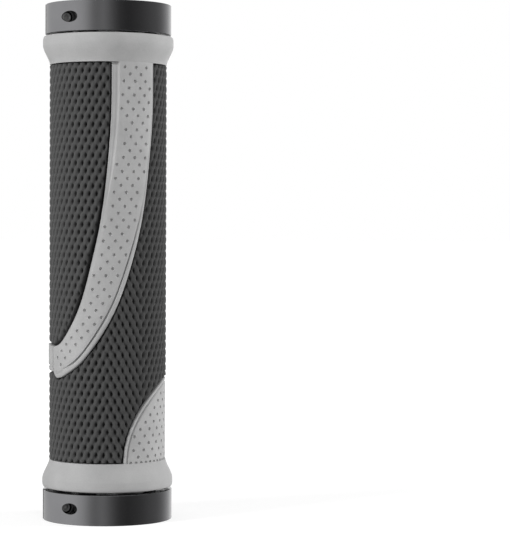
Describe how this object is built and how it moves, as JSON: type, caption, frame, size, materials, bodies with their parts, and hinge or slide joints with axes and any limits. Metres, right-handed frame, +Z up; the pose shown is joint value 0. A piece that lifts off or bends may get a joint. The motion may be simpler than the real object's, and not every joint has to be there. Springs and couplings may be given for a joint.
{
  "type": "handlebar grip",
  "caption": "Lock-on handlebar grip: dark knurled rubber with a sweeping grey band and dome pad on a hard core tube, with a split clamp ring at each end.",
  "frame": {"origin": "middle of the grip's lower end, on the flat outer face of the lower clamp ring", "axes": "+Z up along the handlebar axis; the pictured side faces -Y; +X to the right of it"},
  "size_m": [0.033, 0.033, 0.13],
  "materials": {
    "core_plastic": "moulded black nylon",
    "dark_rubber": "matte moulded rubber with a raised diamond knurl",
    "grey_rubber": "satin moulded light grey rubber",
    "ring_aluminium": "polished and dark anodised",
    "screw_steel": "black oxide"
  },
  "bodies": {
    "root": {"core_sleeve": "core_plastic", "knurled_sleeve": "dark_rubber", "upper_band": "grey_rubber", "lower_band": "grey_rubber", "upper_clamp_ring": "ring_aluminium", "lower_clamp_ring": "ring_aluminium", "upper_clamp_screw": "screw_steel", "lower_clamp_screw": "screw_steel"}
  },
  "joints": []
}
